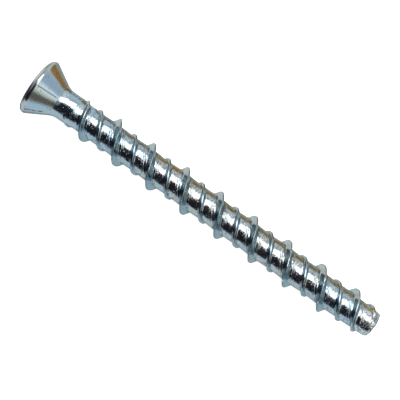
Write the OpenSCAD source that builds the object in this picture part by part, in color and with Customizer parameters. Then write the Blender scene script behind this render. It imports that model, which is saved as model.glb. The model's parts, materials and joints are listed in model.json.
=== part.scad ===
// Concrete screw: one cold-formed steel piece with a countersunk head, a six-lobe
// drive, a plain neck, a two-start thread of one high and one low ridge, and a blunt tip.
// It lies on a level surface, on the rim of its head and its last full turn of thread.

/* [Length] */
// Length from the flat top of the head to the end of the tip
overall_length = 72; // [52:1:112]

/* [Head] */
// Diameter of the head over its rim
head_d = 10.65; // [9.5:0.05:12.5]
// Radius that rounds the rim from the flat top to its side
rim_r = 0.9; // [0.6:0.05:1.4]
// Length of the rim's straight side
rim_side = 0.14; // [0.02:0.02:0.5]
// Radius of the edge between that side and the cone
edge_r = 0.2; // [0.1:0.05:0.5]
// Included angle of the countersunk cone
cone_angle = 60; // [50:1:90]
// Radius of the fillet between the cone and the neck
neck_fillet_r = 3.1; // [0.5:0.1:5]

/* [Drive recess] */
// Diameter across the six lobes
drive_lobe_d = 5.6; // [4.6:0.05:6]
// Diameter across the six flutes between the lobes
drive_flute_d = 4.05; // [3.3:0.05:4.4]
// Radius of each flute
flute_r = 1.2; // [0.9:0.05:1.5]
// Depth of the lobes below the flat top
drive_depth = 3; // [2:0.1:3.5]
// Included angle of the conical floor
drive_floor_angle = 130; // [110:1:160]

/* [Shank] */
// Diameter of the plain neck under the head
neck_d = 5.5; // [5.2:0.05:5.9]
// Length of the plain neck, from the end of its fillet
neck_length = 2; // [0.5:0.1:20]
// Length of the shoulder that brings the neck down to the core
shoulder_length = 1.4; // [0.6:0.1:3]
// Diameter of the core between the ridges
core_d = 5.1; // [4.7:0.05:5.2]

/* [Thread] */
// Axial advance of each ridge in one turn
thread_lead = 7.22; // [5:0.01:9]
// Distance from the flat top to a crest of the high ridge, on the +Y side
thread_phase = 15.63; // [12:0.01:20]
// Diameter over the high ridge
high_d = 7.4; // [6.8:0.01:8]
// Diameter over the low ridge
low_d = 5.95; // [5.6:0.05:6.5]
// Width of the crest of the high ridge
high_crest_width = 0.16; // [0.1:0.02:0.4]
// Width of the crest of the low ridge
low_crest_width = 0.3; // [0.2:0.02:0.5]
// Angle of each flank to the plane across the axis
flank_angle = 30; // [15:1:35]
// Length of neck that the first rise of the ridges covers
run_in_cover = 1; // [0.3:0.1:2]
// Length over which the thread rises from the neck to its full diameter
run_in_length = 5.8; // [2:0.1:9]
// Length over which the thread falls from its full diameter to the tip
run_out_length = 5.5; // [3:0.1:9]

/* [Tip] */
// Length of the stretch where the core narrows to the tip
tip_taper_length = 5; // [2:0.1:8]
// Diameter of the core at the end of that stretch
tip_d = 4.52; // [4:0.02:4.7]
// Radius that rounds the edge of the end face
tip_round_r = 0.7; // [0.2:0.05:1.2]

/* [Hidden] */

zinc = [0.74, 0.79, 0.84];

// Facets of the helical ridges, of each arc in the half section, and of a full circle
steps_per_turn = 40;
arc_steps = 8;
circle_steps = 96;

head_r = head_d / 2;
neck_r = neck_d / 2;
core_r = core_d / 2;
high_r = high_d / 2;
low_r = low_d / 2;
tip_r = tip_d / 2;
cone_half = cone_angle / 2;
lobes = 6;

// The edge's arc starts at the end of the rim's side and meets the cone
rim_centre_r = head_r - rim_r;
edge_centre_r = head_r - edge_r;
edge_z = rim_r + rim_side;
cone_start_r = edge_centre_r + edge_r * cos(cone_half);
cone_start_z = edge_z + edge_r * sin(cone_half);

// The fillet's arc leaves the cone and meets the neck
fillet_centre_r = neck_r + neck_fillet_r;
fillet_start_r = fillet_centre_r - neck_fillet_r * cos(cone_half);
fillet_start_z = cone_start_z + (cone_start_r - fillet_start_r) / tan(cone_half);
fillet_centre_z = fillet_start_z + neck_fillet_r * sin(cone_half);
neck_end_z = fillet_centre_z + neck_length;

// Each ridge starts and ends below the surface of the blank, with its foot in the core
ridge_sink = 0.3;
foot_r = tip_r - ridge_sink;
run_in_slope = (high_r - neck_r) / run_in_length;
run_out_slope = (high_r - tip_r) / run_out_length;
run_in_z = neck_end_z - run_in_cover;
ridge_start_z = run_in_z - ridge_sink / 3 / run_in_slope;
ridge_end_z = overall_length - tip_round_r - ridge_sink;
end_slope = tan(60);

// At rest the edge of the rim and the last full crest over the -Z side touch the ground
full_crests = floor((overall_length - run_out_length - thread_phase) / thread_lead - 3 / 4);
contact_z = thread_phase + thread_lead * (full_crests + 3 / 4) + high_crest_width / 2;
rest_tilt = atan((head_r - high_r) / (contact_z - edge_z));
rest_height = edge_z * sin(rest_tilt) + head_r * cos(rest_tilt);
// Middle of the lying screw, between the lower edge of its top and the upper edge of its tip
head_reach = -rim_centre_r * sin(rest_tilt);
tip_reach = overall_length * cos(rest_tilt) + (tip_r - tip_round_r) * sin(rest_tilt);
rest_middle = (head_reach + tip_reach) / 2;

// Points of an arc about [x, y], from one angle to another
function arc(x, y, r, from, to) = [
    for (i = [0:arc_steps])
        let (a = from + (to - from) * i / arc_steps)
        [x + r * cos(a), y + r * sin(a)]
];

// Largest radius of the thread at a distance from the flat top
function thread_limit(z) = min(
    neck_r + (z - run_in_z) * run_in_slope,
    tip_r + (overall_length - z) * run_out_slope,
    foot_r + (ridge_end_z - z) * end_slope
);

// Section of a ridge as [radius, axial offset], from its foot over its crest
function ridge_section(crest_r, crest_width) =
    let (
        crest_half = crest_width / 2,
        foot_half = crest_half + (crest_r - foot_r) * tan(flank_angle)
    )
    [[foot_r, -foot_half], [crest_r, -crest_half], [crest_r, crest_half], [foot_r, foot_half]];

// Half section of the blank, with the axis at x = 0 and the flat top at y = 0
module blank_section() {
    polygon(concat(
        [[0, 0]],
        arc(rim_centre_r, rim_r, rim_r, -90, 0),
        arc(edge_centre_r, edge_z, edge_r, 0, cone_half),
        arc(fillet_centre_r, fillet_centre_z, neck_fillet_r, 180 + cone_half, 180),
        [[neck_r, neck_end_z], [core_r, neck_end_z + shoulder_length]],
        [[core_r, overall_length - tip_taper_length]],
        arc(tip_r - tip_round_r, overall_length - tip_round_r, tip_round_r, 0, 90),
        [[0, overall_length]]
    ));
}

// Head, neck, core and tip, turned about the axis
module blank() {
    rotate_extrude($fn = circle_steps) blank_section();
}

// One helical ridge, whose crest passes crest_z on the +X side of the upright screw
module ridge(outer_r, crest_width, crest_z) {
    first = ceil((ridge_start_z - crest_z) / thread_lead * steps_per_turn);
    last = floor((ridge_end_z - crest_z) / thread_lead * steps_per_turn);
    min_rise = 0.05;
    rings = [
        for (i = [first:last])
            let (
                a = 360 * i / steps_per_turn,
                z = crest_z + thread_lead * i / steps_per_turn,
                crest_r = max(foot_r + min_rise, min(outer_r, thread_limit(z)))
            )
            [for (p = ridge_section(crest_r, crest_width)) [p[0] * cos(a), p[0] * sin(a), z + p[1]]]
    ];
    sides = len(rings[0]);
    spans = last - first;
    skin = [
        for (i = [0:spans - 1], k = [0:sides - 1])
            let (a = i * sides + k, b = i * sides + (k + 1) % sides)
            each [[a, b, a + sides], [b, b + sides, a + sides]]
    ];
    start_cap = [for (k = [0:sides - 1]) sides - 1 - k];
    end_cap = [for (k = [0:sides - 1]) spans * sides + k];
    polyhedron([for (ring = rings) each ring], concat(skin, [start_cap, end_cap]));
}

// Outline of the six-lobe drive: a circle over the lobes, less the flutes between them
module drive_outline() {
    difference() {
        circle(d = drive_lobe_d, $fn = circle_steps);
        for (i = [0:lobes - 1])
            rotate((i + 0.5) * 360 / lobes)
                translate([drive_flute_d / 2 + flute_r, 0])
                    circle(r = flute_r, $fn = circle_steps);
    }
}

// Recess for the driver, open at the flat top, with a conical floor
module drive_recess() {
    opening = 1;
    floor_depth = drive_flute_d / 2 / tan(drive_floor_angle / 2);
    translate([0, 0, -opening]) linear_extrude(opening + drive_depth) drive_outline();
    translate([0, 0, drive_depth]) cylinder(d1 = drive_flute_d, d2 = 0, h = floor_depth, $fn = circle_steps);
}

// Lays an upright screw down along +X, with its tip forward and its origin under its middle
module lying() {
    translate([-rest_middle, 0, rest_height]) rotate([0, rest_tilt, 0]) rotate([90, 0, 90]) children();
}

module concrete_screw() {
    color(zinc) lying() difference() {
        union() {
            blank();
            ridge(high_r, high_crest_width, thread_phase);
            ridge(low_r, low_crest_width, thread_phase + thread_lead / 2);
        }
        drive_recess();
    }
}

concrete_screw();
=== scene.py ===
"""Zinc-plated concrete screw with a countersunk six-lobe head and a high-low thread, on a pale floor."""
import json
from math import cos, exp, floor, pi, radians, sin, sqrt, tan
from types import SimpleNamespace

import bmesh
import bpy
from mathutils import Matrix, Quaternion, Vector, noise


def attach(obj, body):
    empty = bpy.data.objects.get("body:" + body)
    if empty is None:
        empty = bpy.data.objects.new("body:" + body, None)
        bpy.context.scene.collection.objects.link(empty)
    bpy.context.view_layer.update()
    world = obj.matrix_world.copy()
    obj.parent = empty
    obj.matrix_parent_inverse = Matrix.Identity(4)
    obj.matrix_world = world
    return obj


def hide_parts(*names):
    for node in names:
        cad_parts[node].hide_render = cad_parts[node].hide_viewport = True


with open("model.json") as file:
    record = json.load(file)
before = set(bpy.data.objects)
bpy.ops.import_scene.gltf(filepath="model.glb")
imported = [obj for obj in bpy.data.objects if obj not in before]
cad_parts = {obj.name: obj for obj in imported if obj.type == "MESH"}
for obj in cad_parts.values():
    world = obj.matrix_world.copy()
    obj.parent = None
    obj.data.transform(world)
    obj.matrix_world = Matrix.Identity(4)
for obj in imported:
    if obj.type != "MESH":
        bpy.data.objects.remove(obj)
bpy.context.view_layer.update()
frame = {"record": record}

# Sizes of the screw in millimetres, as its solid has them.
# Distances along it run from the flat top of the head. Angles around it run from +Y, over the top.
MM = 0.001
LENGTH = 72.0
HEAD_R = 10.65 / 2
RIM_R = 0.9
RIM_SIDE = 0.14
EDGE_R = 0.2
CONE_HALF = radians(30)
FILLET_R = 3.1
NECK_R = 5.5 / 2
NECK_LENGTH = 2.0
SHOULDER = 1.4
CORE_R = 5.1 / 2
LEAD = 7.22
PHASE = 15.63
HIGH_R = 7.4 / 2
LOW_R = 5.95 / 2
HIGH_CREST_HALF = 0.16 / 2
LOW_CREST_HALF = 0.3 / 2
FLANK = radians(30)
RUN_IN_COVER = 1.0
RUN_IN = 5.8
RUN_OUT = 5.5
RIDGE_END_SLOPE = radians(60)
TIP_TAPER = 5.0
TIP_R = 4.52 / 2
TIP_ROUND = 0.7
RIDGE_SINK = 0.3
DRIVE_LOBE_R = 5.6 / 2
DRIVE_FLUTE_R = 4.05 / 2
FLUTE_R = 1.2
DRIVE_DEPTH = 3.0
DRIVE_FLOOR_HALF = radians(65)
DRIVE_EDGE = 0.08
LOBES = 6

# Places along the screw that follow from those sizes
DRIVE_FLOOR = DRIVE_FLUTE_R / tan(DRIVE_FLOOR_HALF)
RIM_CENTRE_R = HEAD_R - RIM_R
EDGE_X = RIM_R + RIM_SIDE
CONE_START_X = EDGE_X + EDGE_R * sin(CONE_HALF)
CONE_START_R = HEAD_R - EDGE_R * (1 - cos(CONE_HALF))
FILLET_START_R = NECK_R + FILLET_R * (1 - cos(CONE_HALF))
FILLET_START_X = CONE_START_X + (CONE_START_R - FILLET_START_R) / tan(CONE_HALF)
FILLET_END_X = FILLET_START_X + FILLET_R * sin(CONE_HALF)
NECK_END_X = FILLET_END_X + NECK_LENGTH
RUN_IN_X = NECK_END_X - RUN_IN_COVER
FOOT_R = TIP_R - RIDGE_SINK
RIDGE_END_X = LENGTH - TIP_ROUND - RIDGE_SINK

# The threaded stretch is one helical strip of faces, between two rings of points
COLUMNS = 120
STRIP_START_X = FILLET_END_X + 0.3
STRIP_END_X = RIDGE_END_X
MERGE_DISTANCE = 1e-4 * MM

# Marks of the forming tools, in millimetres and radians.
# A pair is a stretch of the screw over which a mark fades in or out.
HIGH_ROOT_BLEND = 0.16
LOW_ROOT_BLEND = 0.30
LEAST_BLEND_SHARE = 0.1
BLEND_GROWS = (7.5, 11.0)
CREST_BLEND = 0.05
CREST_UNEVEN = 0.04
ROOT_RISE = 0.11
RISE_SHARE = 0.6
RISE_FALLS_FROM = 0.8
RISE_FALLS_OVER = 2.5
RISE_STARTS = (10.0, 14.0)
RISE_ENDS = (65.0, 69.0)
START_DRIFT = 0.8
START_DRIFT_ENDS = (8.45, 11.35)
END_DRIFT = 0.4
END_DRIFT_STARTS = (65.9, 69.4)
BROAD_DENT = 0.03
FINE_DENT = 0.012
BURR_HEIGHT = 0.22
BURR_X = 11.05
BURR_LENGTH = 0.45
BURR_ANGLE = radians(28)
BURR_SPREAD = 0.30
SEAM_DEPTH = 0.03
SEAM_ANGLE = radians(90)
NICK_DEPTH = 0.05
NICK_ANGLE = radians(153)
MARK_SPREAD = 0.03
CONE_UNEVEN = 0.010
HEAD_OFF_CENTRE = 0.10
OFF_CENTRE_ENDS = (2.0, 9.0)
TIP_SWELLING = 0.10
SWELLING_STARTS = (68.0, 70.5)
BROAD_SHEAR = 0.10
FINE_SHEAR = 0.06
SHEAR_SET_BACK = 0.06
SHEAR_SEED = 3.7

# The screw's own frame at rest, from the mounts on its axis
mounts = {m["name"]: m for m in frame["record"]["mounts"]}
head_top = Vector(mounts["drive_recess"]["pos_m"])
along = Vector(mounts["thread"]["axis"]).normalized()
across = Vector((0, 1, 0))
upward = along.cross(across)
rest_frame = Matrix((along, across, upward)).transposed().to_4x4()
rest_frame.translation = head_top


def smooth_max(a, b, width):
    """The larger of two values, with the corner where they cross rounded over a width."""
    near = max(0.0, 1 - abs(a - b) / width)
    return max(a, b) + width / 4 * near * near


def smooth_min(a, b, width):
    return -smooth_max(-a, -b, width)


def way(value, start, stop):
    """Share of the way from start to stop, from 0 to 1."""
    return min(max((value - start) / (stop - start), 0.0), 1.0)


def eased(value, start, stop):
    """Share of the way from start to stop, easing in and out."""
    share = way(value, start, stop)
    return share * share * (3 - 2 * share)


def bell(value, middle, width):
    return exp(-(((value - middle) / width) ** 2))


def steps(start, stop, count):
    """Evenly spaced values after start, up to stop."""
    return [start + (stop - start) * (i + 1) / count for i in range(count)]


def rough(x, angle, along_scale, around_scale):
    """Noise on the skin of the screw, between about -1 and 1."""
    return noise.noise(Vector((x * along_scale, around_scale * cos(angle), around_scale * sin(angle))))


def blank_radius(x):
    """Radius of the screw without its ridges, from the neck to the tip."""
    if x < NECK_END_X:
        return NECK_R
    shoulder_end = NECK_END_X + SHOULDER
    if x < shoulder_end:
        return NECK_R + (CORE_R - NECK_R) * eased(x, NECK_END_X, shoulder_end)
    taper_start = LENGTH - TIP_TAPER
    if x < taper_start:
        return CORE_R
    return CORE_R + (TIP_R - CORE_R) * (x - taper_start) / (TIP_TAPER - TIP_ROUND)


def thread_limit(x):
    """Largest radius of the ridges: they rise out of the neck and fall to the tip."""
    return min(
        NECK_R + (x - RUN_IN_X) * (HIGH_R - NECK_R) / RUN_IN,
        TIP_R + (LENGTH - x) * (HIGH_R - TIP_R) / RUN_OUT,
        FOOT_R + (RIDGE_END_X - x) * tan(RIDGE_END_SLOPE),
    )


def high_drift(crest_x):
    """How far the high ridge strays from its helix, where it starts late and ends early."""
    at_start = START_DRIFT * (1 - eased(crest_x, *START_DRIFT_ENDS))
    at_end = END_DRIFT * eased(crest_x, *END_DRIFT_STARTS)
    return at_start - at_end


def no_drift(crest_x):
    return 0.0


def from_nearest_turn(x, angle, crest_x):
    """Distance along the screw from a ridge's nearest turn. Its crest is at crest_x where the angle is 0."""
    return (x - crest_x - LEAD * angle / (2 * pi) + LEAD / 2) % LEAD - LEAD / 2


def ridge_radius(x, angle, outer_r, crest_half, crest_x, drift):
    """Radius of one ridge at a place along the screw and an angle around it."""
    offset = from_nearest_turn(x, angle, crest_x)
    strayed = drift(x - offset)
    crest = x - offset + strayed
    crest_r = min(outer_r, thread_limit(crest)) + CREST_UNEVEN * rough(crest, angle, 0.9, 1.6)
    flank_r = crest_r + (crest_half - abs(offset - strayed)) / tan(FLANK)
    return smooth_min(crest_r, flank_r, CREST_BLEND)


def dents(x, angle):
    """Small unevenness that rolling leaves on the core."""
    return BROAD_DENT * rough(x, angle, 0.8, 2.0) + FINE_DENT * rough(x, angle, 2.2, 4.0)


def burr(x, angle):
    """Raised scrap of metal where the rolling started."""
    off_angle = (angle - BURR_ANGLE + pi) % (2 * pi) - pi
    shape = bell(x, BURR_X, BURR_LENGTH) * bell(off_angle, 0.0, BURR_SPREAD)
    return BURR_HEIGHT * shape * (0.8 + 0.5 * rough(x, angle, 2.6, 5.0))


def root_rise(x, angle):
    """Metal that the rolling pushed up towards the foot of the high ridge, out of the core between."""
    from_crest = abs(from_nearest_turn(x, angle, PHASE))
    full_thread = eased(x, *RISE_STARTS) * (1 - eased(x, *RISE_ENDS))
    share = way(from_crest, RISE_FALLS_FROM, RISE_FALLS_FROM + RISE_FALLS_OVER)
    return ROOT_RISE * (RISE_SHARE - share) * full_thread


def tip_swelling(x):
    """How far shearing the wire has spread its end."""
    return TIP_SWELLING * eased(x, *SWELLING_STARTS)


def surface_radius(x, angle):
    """Radius of the finished screw, from the neck to the end of the thread."""
    radius = blank_radius(x) + root_rise(x, angle)
    high = ridge_radius(x, angle, HIGH_R, HIGH_CREST_HALF, PHASE, high_drift)
    low = ridge_radius(x, angle, LOW_R, LOW_CREST_HALF, PHASE + LEAD / 2, no_drift)
    grown = LEAST_BLEND_SHARE + (1 - LEAST_BLEND_SHARE) * eased(x, *BLEND_GROWS)
    radius = smooth_max(radius, high, HIGH_ROOT_BLEND * grown)
    radius = smooth_max(radius, low, LOW_ROOT_BLEND * grown)
    return radius + dents(x, angle) + burr(x, angle) + tip_swelling(x)


def drive_radius(angle):
    """Outline of the six-lobe recess as a radius at an angle."""
    sector = 2 * pi / LOBES
    off_flute = abs((angle % sector) - sector / 2)
    centre = DRIVE_FLUTE_R + FLUTE_R
    beside = centre * sin(off_flute)
    if beside >= FLUTE_R:
        return DRIVE_LOBE_R
    return min(DRIVE_LOBE_R, centre * cos(off_flute) - sqrt(FLUTE_R ** 2 - beside ** 2))


def cone_marks(x, angle):
    """Depth of the seam along the top of the cone, the nicks on its -Y side and its unevenness."""
    seam = SEAM_DEPTH * bell(angle, SEAM_ANGLE, MARK_SPREAD)
    nicked = max(0.0, rough(x, angle, 1.3, 1.0) + 0.2)
    nicks = NICK_DEPTH * bell(angle, NICK_ANGLE, MARK_SPREAD) * nicked
    return seam + nicks - CONE_UNEVEN * rough(x, angle, 1.2, 3.0)


def recess_rings():
    """Rings of the recess and the flat top, as functions of the angle, from the recess floor to the rim."""
    rings = [lambda a: (DRIVE_DEPTH + DRIVE_FLOOR * 0.5, DRIVE_FLUTE_R * 0.5)]
    rings.append(lambda a: (DRIVE_DEPTH, DRIVE_FLUTE_R * 0.97))
    rings.append(lambda a: (DRIVE_DEPTH, drive_radius(a) - DRIVE_EDGE * 0.5))
    for x in steps(DRIVE_DEPTH, DRIVE_EDGE, 8):
        rings.append(lambda a, x=x: (x, drive_radius(a)))
    rings.append(lambda a: (0.0, drive_radius(a) + DRIVE_EDGE))
    for share in steps(0, 1, 5):
        rings.append(lambda a, s=share: (0.0, (drive_radius(a) + DRIVE_EDGE) * (1 - s) + RIM_CENTRE_R * s))
    return rings


def head_rings():
    """Rings of the rounded rim, cone and fillet, as functions of the angle, up to the start of the strip."""
    rings = []
    for angle in steps(-pi / 2, 0, 12):
        point = (RIM_R + RIM_R * sin(angle), RIM_CENTRE_R + RIM_R * cos(angle))
        rings.append(lambda a, p=point: p)
    for angle in steps(-CONE_HALF / 5, CONE_HALF, 6):
        point = (EDGE_X + EDGE_R * sin(angle), HEAD_R - EDGE_R * (1 - cos(angle)))
        rings.append(lambda a, p=point: p)
    for share in steps(0, 1, 16):
        x = CONE_START_X + (FILLET_START_X - CONE_START_X) * share
        radius = CONE_START_R + (FILLET_START_R - CONE_START_R) * share
        rings.append(lambda a, x=x, r=radius: (x, r - cone_marks(x, a)))
    for angle in steps(CONE_HALF, 0, 10):
        point = (FILLET_END_X - FILLET_R * sin(angle), NECK_R + FILLET_R * (1 - cos(angle)))
        rings.append(lambda a, p=point: p)
    rings.append(lambda a: (STRIP_START_X, surface_radius(STRIP_START_X, a)))
    return rings


def shear(radius, angle):
    """Roughness of the sheared end face."""
    spot = Vector((radius * cos(angle), radius * sin(angle), SHEAR_SEED))
    return BROAD_SHEAR * noise.noise(spot * 1.3) + FINE_SHEAR * noise.noise(spot * 4.0) - SHEAR_SET_BACK


def tip_rings():
    """Rings from the end of the thread round the blunt, sheared end."""
    rings = [lambda a: (STRIP_END_X, surface_radius(STRIP_END_X, a))]
    round_x = LENGTH - TIP_ROUND
    end_r = TIP_R + TIP_SWELLING
    for angle in steps(0, pi / 2, 6):
        point = (round_x + TIP_ROUND * sin(angle), end_r - TIP_ROUND * (1 - cos(angle)))
        rings.append(lambda a, p=point: (p[0] + shear(p[1], a), p[1]))
    for share in steps(1, 0.12, 8):
        radius = (end_r - TIP_ROUND) * share
        rings.append(lambda a, r=radius: (LENGTH + shear(r, a), r))
    return rings


def strip_offsets():
    """Offsets along the screw of the rows across one lead, close together over the two ridges."""
    high_foot = 0.70
    high_foot_end = 0.90
    low_crest = LEAD / 2 - LOW_CREST_HALF
    low_foot = low_crest - 0.40
    half = [0.0]
    half += steps(0, HIGH_CREST_HALF, 2)
    half += steps(HIGH_CREST_HALF, high_foot, 9)
    half += steps(high_foot, high_foot_end, 4)
    half += steps(high_foot_end, low_foot, 10)
    half += steps(low_foot, low_crest, 8)
    half += steps(low_crest, LEAD / 2, 3)
    return [-w for w in reversed(half[1:])] + half[:-1]


class Skin:
    """Collects points and faces in the screw's own frame, with its axis along X."""

    def __init__(self):
        self.points = []
        self.faces = []

    def add_point(self, x, radius, angle):
        """Adds a point and returns its number. The head's points lie off the centre of the shank."""
        off_centre = HEAD_OFF_CENTRE * (1 - eased(x, *OFF_CENTRE_ENDS))
        self.points.append((x, radius * cos(angle) - off_centre, radius * sin(angle)))
        return len(self.points) - 1

    def add_rings(self, rings):
        """Joins rings of points into bands, and returns the first and last rings."""
        made = []
        for ring in rings:
            row = []
            for i in range(COLUMNS):
                angle = 2 * pi * i / COLUMNS
                x, radius = ring(angle)
                row.append(self.add_point(x, radius, angle))
            made.append(row)
        for low, high in zip(made, made[1:]):
            for i in range(COLUMNS):
                j = (i + 1) % COLUMNS
                self.faces.append((low[i], high[i], high[j], low[j]))
        return made[0], made[-1]

    def add_pole(self, x, ring):
        """Closes a ring with a fan to a point on the axis."""
        pole = self.add_point(x, 0, 0)
        for i in range(COLUMNS):
            self.faces.append((ring[i], pole, ring[(i + 1) % COLUMNS]))

    def add_strip(self):
        """The helical strip of the thread. Rows past either end gather on that end's ring."""
        offsets = strip_offsets()
        rows = len(offsets)
        first = floor((STRIP_START_X - PHASE) / LEAD * COLUMNS) - COLUMNS
        last = floor((STRIP_END_X - PHASE) / LEAD * COLUMNS) + 2 * COLUMNS
        grid = {}

        def place(i, k):
            """Distance along the screw of row k in column i. The rows follow the ridge where it strays."""
            crest = PHASE + LEAD * i / COLUMNS
            x = crest + offsets[k] + high_drift(crest) * (1 - abs(offsets[k]) / (LEAD / 2))
            return min(max(x, STRIP_START_X), STRIP_END_X)

        def wrapped(i, k):
            """The row past the last one is the first row of the next turn."""
            return (i + COLUMNS, 0) if k == rows else (i, k)

        def point(i, k):
            i, k = wrapped(i, k)
            if (i, k) not in grid:
                x = place(i, k)
                angle = 2 * pi * i / COLUMNS
                grid[i, k] = self.add_point(x, surface_radius(x, angle), angle)
            return grid[i, k]

        for i in range(first, last):
            for k in range(rows):
                corners = [(i, k), (i, k + 1), (i + 1, k + 1), (i + 1, k)]
                along_screw = [place(*wrapped(*c)) for c in corners]
                if min(along_screw) < STRIP_END_X and max(along_screw) > STRIP_START_X:
                    self.faces.append([point(*c) for c in corners])


def make_screw():
    """The whole screw as one closed mesh, laid down as it rests."""
    skin = Skin()
    recess, _ = skin.add_rings(recess_rings() + head_rings())
    skin.add_pole(DRIVE_DEPTH + DRIVE_FLOOR, recess)
    skin.add_strip()
    _, end = skin.add_rings(tip_rings())
    skin.add_pole(LENGTH + shear(0, 0), end)

    mesh = bpy.data.meshes.new("screw_body")
    mesh.from_pydata([[c * MM for c in p] for p in skin.points], [], skin.faces)
    bm = bmesh.new()
    bm.from_mesh(mesh)
    bmesh.ops.remove_doubles(bm, verts=bm.verts, dist=MERGE_DISTANCE)
    bmesh.ops.dissolve_degenerate(bm, edges=bm.edges, dist=MERGE_DISTANCE)
    bmesh.ops.recalc_face_normals(bm, faces=bm.faces)
    bm.transform(rest_frame)
    bm.to_mesh(mesh)
    bm.free()
    mesh.shade_smooth()
    piece = bpy.data.objects.new("screw_body", mesh)
    bpy.context.collection.objects.link(piece)
    return piece


class Nodes:
    """Short forms for building a node tree."""

    MIX_COLOURS = (6, 7)
    MIX_RESULT = 2

    def __init__(self, tree):
        self.tree = tree

    def new(self, kind, values=None, **settings):
        node = self.tree.nodes.new(kind)
        for name, value in settings.items():
            setattr(node, name, value)
        for name, value in (values or {}).items():
            if isinstance(value, bpy.types.NodeSocket):
                self.tree.links.new(value, node.inputs[name])
            else:
                node.inputs[name].default_value = value
        return node

    def math(self, operation, a, b=0.0):
        return self.new("ShaderNodeMath", {0: a, 1: b}, operation=operation).outputs[0]

    def total(self, *values):
        result = values[0]
        for value in values[1:]:
            result = self.math("ADD", result, value)
        return result

    def product(self, *values):
        result = values[0]
        for value in values[1:]:
            result = self.math("MULTIPLY", result, value)
        return result

    def spread(self, value, low, high, to_low=0.0, to_high=1.0):
        """Eases from one result to another while the value goes from low to high."""
        values = {"Value": value, "From Min": low, "From Max": high, "To Min": to_low, "To Max": to_high}
        return self.new("ShaderNodeMapRange", values, interpolation_type="SMOOTHSTEP").outputs["Result"]

    def near(self, value, middle, width):
        """Share that is 1 at the middle and falls to 0 a width away from it."""
        return self.spread(self.math("ABSOLUTE", self.math("SUBTRACT", value, middle)), width, 0.0)

    def mix(self, factor, a, b):
        first, second = self.MIX_COLOURS
        values = {"Factor": factor, first: a, second: b}
        return self.new("ShaderNodeMix", values, data_type="RGBA").outputs[self.MIX_RESULT]

    def scaled(self, vector, scale):
        return self.new("ShaderNodeMapping", {"Vector": vector, "Scale": scale}).outputs["Vector"]

    def noise(self, vector, scale, detail=2.0, roughness=0.5):
        values = {"Vector": vector, "Scale": scale, "Detail": detail, "Roughness": roughness}
        return self.new("ShaderNodeTexNoise", values).outputs["Fac"]

    def dot(self, vector, other):
        values = {0: vector, 1: other}
        return self.new("ShaderNodeVectorMath", values, operation="DOT_PRODUCT").outputs["Value"]


# Colours of the plating, of the marks on it, and of the shade and glints painted on it
BLUE_ZINC = (0.33, 0.46, 0.55, 1)
GREY_ZINC = (0.42, 0.47, 0.48, 1)
STREAK = (0.12, 0.14, 0.16, 1)
SHEARED = (0.66, 0.72, 0.74, 1)
SPECK = (0.08, 0.085, 0.09, 1)
# Painted shade for the feet of the ridges
ROOT_SHADE_COLOUR = (0.05, 0.05, 0.05, 1)
# Painted shade that darkens the crests of the ridges
PAINTED_CREST_SHADE = (0.11, 0.17, 0.20, 1)
# Painted glints on the high crest
PAINTED_GLINT = (0.62, 0.86, 0.86, 1)
ZINC_GLANCING = (0.78, 0.82, 0.80, 1)

# Stretches of the screw, in millimetres along it, over which the plating's marks fade in or out
RIM_ENDS = (1.35, 1.05)
CONE_STARTS = (1.1, 1.3)
CONE_ENDS = (5.25, 4.65)
SCRATCHES_END = (4.3, 3.7)
ROLLING_STARTS = (4.8, 6.5)
THREAD_STARTS = (9.0, 10.5)
MIDDLE_STARTS = (14.0, 30.0)
MIDDLE_ENDS = (66.0, 54.0)
TIP_STARTS = (67.0, 71.0)
SHEARING_STARTS = (67.5, 70.5)
SPECKS_THICKEN = (68.0, 71.5)

# Heights of the plating's relief in millimetres, and places of its marks
GRAIN_HEIGHT = 0.027
RIPPLE_HEIGHT = 0.025
PIT_HEIGHT = -0.018
LAP_HEIGHT = -0.09
SATIN_HEIGHT = 0.003
FROST_HEIGHT = 0.006
RING_HEIGHT = 0.032
SEAM_HEIGHT = -0.05
SCRATCH_HEIGHT = -0.06
CHIP_HEIGHT = 0.03
NECK_RING_X = 8.45
CONE_RING_X = 4.90
SCRATCH_ANGLE = radians(149.5)


def places_on_screw(n):
    """Where a shaded point lies in the screw's own frame, in millimetres, and masks of the screw's parts."""
    at = SimpleNamespace()
    place = n.new("ShaderNodeTexCoord").outputs["Object"]
    turned = {"Vector": place, "Location": head_top, "Rotation": rest_frame.to_euler()}
    own = n.new("ShaderNodeMapping", turned, vector_type="TEXTURE").outputs["Vector"]
    at.mm = n.scaled(own, (1 / MM, 1 / MM, 1 / MM))
    at.lay = n.scaled(at.mm, (2.4, 1, 1))
    at.x, at.y, at.z = n.new("ShaderNodeSeparateXYZ", {0: at.mm}).outputs
    at.angle = n.math("ARCTAN2", at.z, at.y)

    # Distance along the screw from the nearest turn of each ridge's crest
    unwound = n.math("SUBTRACT", at.x, n.product(at.angle, LEAD / (2 * pi)))
    at.wound = n.math("FLOORED_MODULO", n.math("SUBTRACT", unwound, PHASE), LEAD)
    at.from_high = n.math("MINIMUM", at.wound, n.math("SUBTRACT", LEAD, at.wound))
    at.from_low = n.math("SUBTRACT", LEAD / 2, at.from_high)

    at.threaded = n.spread(at.x, *THREAD_STARTS)
    at.off_ridges = n.product(n.spread(at.from_high, 0.70, 0.95), n.spread(at.from_low, 0.30, 0.50))
    at_a_root = n.total(n.near(at.from_high, 0.85, 0.35), n.near(at.from_low, 0.45, 0.25))
    at.roots = n.product(at.threaded, at_a_root)
    at.high_crest = n.product(n.near(at.from_high, 0.0, 0.24), at.threaded)
    at.low_crest = n.product(n.near(at.from_low, 0.0, 0.26), at.threaded)
    at.cone = n.product(n.spread(at.x, *CONE_STARTS), n.spread(at.x, *CONE_ENDS))
    at.middle = n.product(n.spread(at.x, *MIDDLE_STARTS), n.spread(at.x, *MIDDLE_ENDS))
    at.tip = n.spread(at.x, *TIP_STARTS)
    return at


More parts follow.
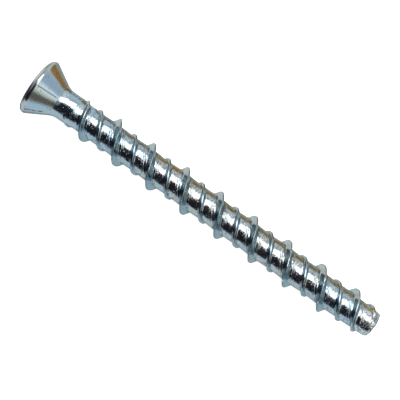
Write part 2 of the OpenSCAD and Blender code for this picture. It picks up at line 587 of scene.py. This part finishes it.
def laps(n, at):
    """Folds beside the high ridge, drawn out along it."""
    drawn_out = n.new("ShaderNodeCombineXYZ", {0: n.product(at.wound, 4.0), 1: at.y, 2: at.z}).outputs[0]
    folds = n.noise(n.scaled(drawn_out, (1, 0.6, 0.6)), 0.7, 2.0, 0.6)
    beside = n.product(n.spread(at.from_high, 0.85, 1.1), n.spread(at.from_high, 2.3, 1.2))
    return n.product(at.threaded, beside, n.spread(folds, 0.45, 0.75))


def cone_seam(n, at):
    """The forming seam, slightly askew along the top of the cone."""
    seam_y = n.total(-0.13, n.product(at.x, 0.048))
    on_top = n.math("GREATER_THAN", at.z, 0.0)
    return n.product(n.near(at.y, seam_y, 0.13), on_top, at.cone)


def cone_scratches(n, at):
    """Broken scratches along the -Y side of the cone."""
    wander = n.product(n.noise(at.mm, 1.1), radians(5))
    line = n.near(at.angle, n.total(SCRATCH_ANGLE, wander), radians(5.5))
    broken = n.spread(n.noise(at.mm, 1.7), 0.40, 0.52)
    return n.product(line, broken, at.cone, n.spread(at.x, *SCRATCHES_END))


def rolled_relief(n, at):
    """Lay, ripple, pits and laps that rolling leaves between the ridges and on the neck."""
    grain = n.noise(at.lay, 1.4, 2.0, 0.55)
    ripple = n.noise(at.mm, 0.8, 1.0, 0.5)
    pits = n.spread(n.noise(at.mm, 2.9, 2.0, 0.6), 0.58, 0.72)
    relief = n.total(
        n.product(grain, GRAIN_HEIGHT),
        n.product(ripple, RIPPLE_HEIGHT),
        n.product(pits, PIT_HEIGHT),
        n.product(laps(n, at), LAP_HEIGHT),
    )
    plain = n.math("MAXIMUM", at.off_ridges, n.math("SUBTRACT", 1.0, at.threaded))
    off_head = n.spread(at.x, *ROLLING_STARTS, 0.12, 1.0)
    return n.product(relief, plain, off_head)


def plating_relief(n, at, satin, scratches):
    """Height of the plating over the mesh, in millimetres."""
    frost = n.noise(at.mm, 3.2, 2.0, 0.6)
    chips = n.noise(at.mm, 2.2, 2.0, 0.6)
    faint_ring = n.product(n.near(at.x, CONE_RING_X, 0.16), 0.4)
    rings = n.total(n.near(at.x, NECK_RING_X, 0.15), faint_ring)
    satin_height = n.total(SATIN_HEIGHT, n.product(at.cone, SATIN_HEIGHT))
    return n.total(
        rolled_relief(n, at),
        n.product(satin, satin_height),
        n.product(frost, at.cone, FROST_HEIGHT),
        n.product(rings, RING_HEIGHT),
        n.product(cone_seam(n, at), SEAM_HEIGHT),
        n.product(scratches, SCRATCH_HEIGHT),
        n.product(chips, at.tip, CHIP_HEIGHT),
    )


def clean_tint(n, at):
    """Colour of the plating without marks: warmer on the rim, in patches and along the middle of the core."""
    patches = n.noise(at.mm, 0.35, 2.0, 0.5)
    warmth = n.total(
        n.product(at.middle, at.off_ridges, 0.6),
        n.product(n.spread(at.x, *RIM_ENDS), 0.8),
        n.spread(patches, 0.40, 0.65, -0.1, 0.4),
    )
    return n.mix(warmth, BLUE_ZINC, GREY_ZINC)


def specks_and_root_shade(n, at):
    """Dark specks, which lie thicker on the tip, and at the feet of the ridges as painted shade."""
    # The limit falls at the feet of the ridges, which gathers specks there as painted shade.
    limit = n.total(n.spread(at.x, *SPECKS_THICKEN, 0.61, 0.50), n.product(at.roots, -0.09))
    return n.spread(n.noise(at.mm, 3.0, 3.0, 0.6), limit, n.math("ADD", limit, 0.10), 0.0, 0.8)


def painted_root_shade(n, at):
    """Painted shade at the feet of the ridges, in patches, most of it along the middle of the screw."""
    gathered = n.spread(n.noise(at.mm, 1.2, 3.0, 0.65), 0.44, 0.60, 0.0, 0.40)
    return n.product(at.roots, gathered, n.total(1.0, n.product(at.middle, 0.9)))


def plating_tint(n, at, scratches):
    """Colour of the plating, with each mark, painted shade and painted glint laid over the ones before it."""
    streaks = n.spread(n.noise(at.lay, 1.1, 3.0, 0.65), 0.50, 0.68, 0.0, 0.65)
    # Spots of painted glint along the high crest
    crest_glint_spots = n.spread(n.noise(at.mm, 0.9, 1.0, 0.5), 0.60, 0.68)
    layers = (
        (n.product(streaks, at.off_ridges, at.threaded), STREAK),
        (n.spread(at.x, *SHEARING_STARTS, 0.0, 0.60), SHEARED),
        (n.math("MAXIMUM", specks_and_root_shade(n, at), scratches), SPECK),
        # painted shade at the feet of the ridges
        (painted_root_shade(n, at), ROOT_SHADE_COLOUR),
        # painted shade darkening the high and low crests
        (n.total(n.product(at.high_crest, 0.80), n.product(at.low_crest, 0.48)), PAINTED_CREST_SHADE),
        # painted glints on the high crest
        (n.product(at.high_crest, crest_glint_spots), PAINTED_GLINT),
    )
    tint = clean_tint(n, at)
    for share, colour in layers:
        tint = n.mix(share, tint, colour)
    return tint


def plating_roughness(n, at, satin):
    return n.total(
        n.spread(satin, 0.3, 0.7, 0.12, 0.19),
        n.product(at.high_crest, 0.18),
        n.product(at.cone, 0.05),
        n.product(at.tip, 0.03),
    )


def zinc_material():
    """Blue-passivated zinc on rolled steel."""
    material = bpy.data.materials.new("zinc_plating")
    material.use_nodes = True
    material.node_tree.nodes.clear()
    n = Nodes(material.node_tree)
    at = places_on_screw(n)
    satin = n.noise(at.mm, 8.0, 2.0, 0.6)
    scratches = cone_scratches(n, at)
    relief = {"Strength": 1.0, "Distance": MM, "Height": plating_relief(n, at, satin, scratches)}
    looks = {
        "Base Color": plating_tint(n, at, scratches),
        "Roughness": plating_roughness(n, at, satin),
        "Normal": n.new("ShaderNodeBump", relief).outputs["Normal"],
        "Metallic": 1.0,
        "Specular Tint": ZINC_GLANCING,
    }
    shader = n.new("ShaderNodeBsdfPrincipled", looks)
    n.new("ShaderNodeOutputMaterial", {"Surface": shader.outputs["BSDF"]})
    return material


def glowing_material(name, base, roughness, glow, strength):
    """Matt material that gives off its own light."""
    material = bpy.data.materials.new(name)
    material.use_nodes = True
    shader = material.node_tree.nodes["Principled BSDF"]
    shader.inputs["Base Color"].default_value = base
    shader.inputs["Roughness"].default_value = roughness
    shader.inputs["Specular IOR Level"].default_value = 0.0
    shader.inputs["Emission Color"].default_value = glow
    shader.inputs["Emission Strength"].default_value = strength
    return material


def stage_sheet(name, corners, material):
    """One flat face that belongs to the stage."""
    mesh = bpy.data.meshes.new(name)
    mesh.from_pydata(corners, [], [range(len(corners))])
    mesh.materials.append(material)
    sheet = bpy.data.objects.new(name, mesh)
    bpy.context.collection.objects.link(sheet)
    return sheet


def make_floor():
    """Pale floor, lit like a light table. The screw mirrors the room below the horizon in its place."""
    size = 20.0
    corners = [(-size, -size, 0), (size, -size, 0), (size, size, 0), (-size, size, 0)]
    material = glowing_material("pale_floor", (0.8, 0.8, 0.8, 1), 0.9, (1, 1, 1, 1), 0.88)
    plane = stage_sheet("floor", corners, material)
    plane.visible_glossy = False


# Warm cards that stand beside the screw: colour, and outline along the screw and upwards in millimetres
CARD_Y = 40
CARDS = {
    "orange_card": (
        (0.64, 0.26, 0.025),
        [(-21, -26), (-14.5, -26), (-14.5, -18), (-5, -18), (-5, 8), (-19.5, 7), (-19.5, -16), (-21, -20)],
    ),
    "ochre_card": ((0.44, 0.26, 0.075), [(-5, -18), (30, -18), (30, 9), (-5, 8)]),
    "gold_card": ((0.58, 0.37, 0.11), [(30, -18), (60, -18), (60, 10), (30, 9)]),
    "brown_card": ((0.30, 0.20, 0.07), [(-36, -18), (-21, -20), (-19.5, -16), (-19.5, 0), (-36, 0)]),
}


def make_cards():
    """The cards show only as reflections in the screw."""
    for name, (colour, outline) in CARDS.items():
        corners = [(x * MM, CARD_Y * MM, z * MM) for x, z in outline]
        card = stage_sheet(name, corners, glowing_material(name, (0, 0, 0, 1), 0.5, (*colour, 1), 1.0))
        card.visible_camera = False
        card.visible_diffuse = False
        card.visible_shadow = False


# What the screw mirrors: each zone has its colour and the limits within which it shows.
# A limit is a direction, and the shares of it at which the zone starts to show and shows fully.
# A later zone covers an earlier one.
DARK_CEILING = (0.022, 0.019, 0.026, 1)
ZONES = {
    "brown corner": ((0.28, 0.18, 0.12), [((0.87, -0.5, 0), 0.68, 0.88), ((0, 0, 1), 0.58, 0.40)]),
    "bright wall": ((0.71, 0.74, 0.78), [((0.353, 0.757, -0.107), -0.02, 0.06)]),
    "wall beside the core": ((0.93, 1.00, 0.99), [((0, 0.97, 0.24), 0.95, 0.985)]),
    "wall by the fillet": (
        (1.20, 1.15, 1.12),
        [((0.24, 0.855, 0.474), 0.95, 0.985), ((1, 0, 0), 0.13, 0.20)],
    ),
    "dim pane": ((0.34, 0.36, 0.37), [((0.54, -0.25, 0.80), 0.90, 0.98)]),
    "warm pane": ((1.60, 1.30, 0.95), [((0.86, -0.05, 0.51), 0.93, 0.99)]),
    "near pane": ((1.80, 1.60, 1.45), [((0.50, 0.10, 0.86), 0.92, 0.98), ((0, 1, 0), -0.14, 0.04)]),
    "cool pane": ((1.60, 1.50, 1.45), [((0.86, 0.04, 0.51), 0.945, 0.99), ((0, 1, 0), -0.03, 0.03)]),
    "head wall": ((0.46, 0.48, 0.50), [((-0.85, 0.2, 0.45), 0.60, 0.95)]),
    "pale table": ((0.92, 0.97, 1.00), [((0.15, 0, 1), 0.33, 0.14), ((-0.2, 0, 1), 0.36, 0.14)]),
    "table past the tip": ((0.66, 0.72, 0.71), [((0.83, -0.2, -0.52), 0.80, 0.95)]),
    "shade past the tip": ((0.26, 0.30, 0.33), [((0.86, 0.17, -0.46), 0.945, 0.98)]),
    "table by the head": ((0.53, 0.55, 0.57), [((-0.73, 0.62, -0.28), 0.88, 0.96)]),
    "light under the head": ((1.20, 1.02, 0.88), [((-0.70, 0.31, -0.64), 0.93, 0.98)]),
    "head side light": ((1.35, 1.15, 1.05), [((-0.93, 0.35, 0.10), 0.88, 0.96)]),
    "head side shade": ((0.06, 0.05, 0.06), [((-0.90, -0.42, 0), 0.82, 0.93)]),
    "shade under the bright side": (
        (0.64, 0.61, 0.55),
        [((0, 0.5, -0.866), 0.84, 0.94), ((1, 0, 0), -0.30, -0.10), ((1, 0, 0), 0.50, 0.30)],
    ),
    "shade below": ((0.42, 0.45, 0.46), [((0, -0.25, -0.968), 0.86, 0.97)]),
    "shade towards the head": ((0.20, 0.21, 0.22), [((-0.50, -0.25, -0.83), 0.92, 0.975)]),
}


def make_world():
    """The plain room round the screw."""
    world = bpy.data.worlds.new("studio")
    bpy.context.scene.world = world
    world.use_nodes = True
    world.node_tree.nodes.clear()
    n = Nodes(world.node_tree)
    direction = n.new("ShaderNodeTexCoord").outputs["Generated"]
    room = DARK_CEILING
    for colour, limits in ZONES.values():
        share = 1.0
        for towards, start, full in limits:
            share = n.product(n.spread(n.dot(direction, towards), start, full), share)
        room = n.mix(share, room, (*colour, 1))
    background = n.new("ShaderNodeBackground", {"Color": room, "Strength": 1.0})
    n.new("ShaderNodeOutputWorld", {"Surface": background.outputs[0]})


def make_key():
    """The softbox above the screw, turned about the way it shines."""
    off_vertical = radians(23.3)
    turn = radians(-23)
    distance = 0.6
    light = bpy.data.lights.new("key_softbox", "AREA")
    light.shape = "RECTANGLE"
    light.size = 0.6
    light.size_y = 0.38
    light.energy = 2.8
    light.color = (1.0, 0.86, 0.76)
    lamp = bpy.data.objects.new("key_softbox", light)
    bpy.context.collection.objects.link(lamp)
    place = Vector((0, sin(off_vertical), cos(off_vertical))) * distance
    facing = (-place).to_track_quat("-Z", "Y")
    lamp.location = place
    lamp.rotation_euler = (facing @ Quaternion((0, 0, 1), turn)).to_euler()
    lamp.visible_camera = False


def make_camera():
    """Looks down on the screw, a little from its tip's side, and turned as the photograph is."""
    image_px = 400
    focal_px = 1320
    px_per_mm = 5.77
    sensor_mm = 36
    slope = radians(35.68)
    lean = radians(1.5)
    middle_x = 34.92
    middle_across = 0.21
    camera_data = bpy.data.cameras.new("camera")
    camera_data.sensor_width = sensor_mm
    camera_data.lens = sensor_mm * focal_px / image_px
    camera_data.clip_start = 0.005
    camera = bpy.data.objects.new("camera", camera_data)
    bpy.context.collection.objects.link(camera)
    leaning_along = along * cos(lean) - upward * sin(lean)
    back = along * sin(lean) + upward * cos(lean)
    right = leaning_along * cos(slope) + across * sin(slope)
    top = across * cos(slope) - leaning_along * sin(slope)
    view = Matrix((right, top, back)).transposed().to_4x4()
    target = head_top + (along * middle_x + across * middle_across) * MM
    view.translation = target + back * (focal_px / px_per_mm * MM)
    camera.matrix_world = view
    bpy.context.scene.camera = camera


screw = make_screw()
screw.data.materials.append(zinc_material())
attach(screw, "root")
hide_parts("concrete_screw")

make_floor()
make_world()
make_camera()
make_key()
make_cards()
bpy.context.scene.view_settings.view_transform = "Standard"
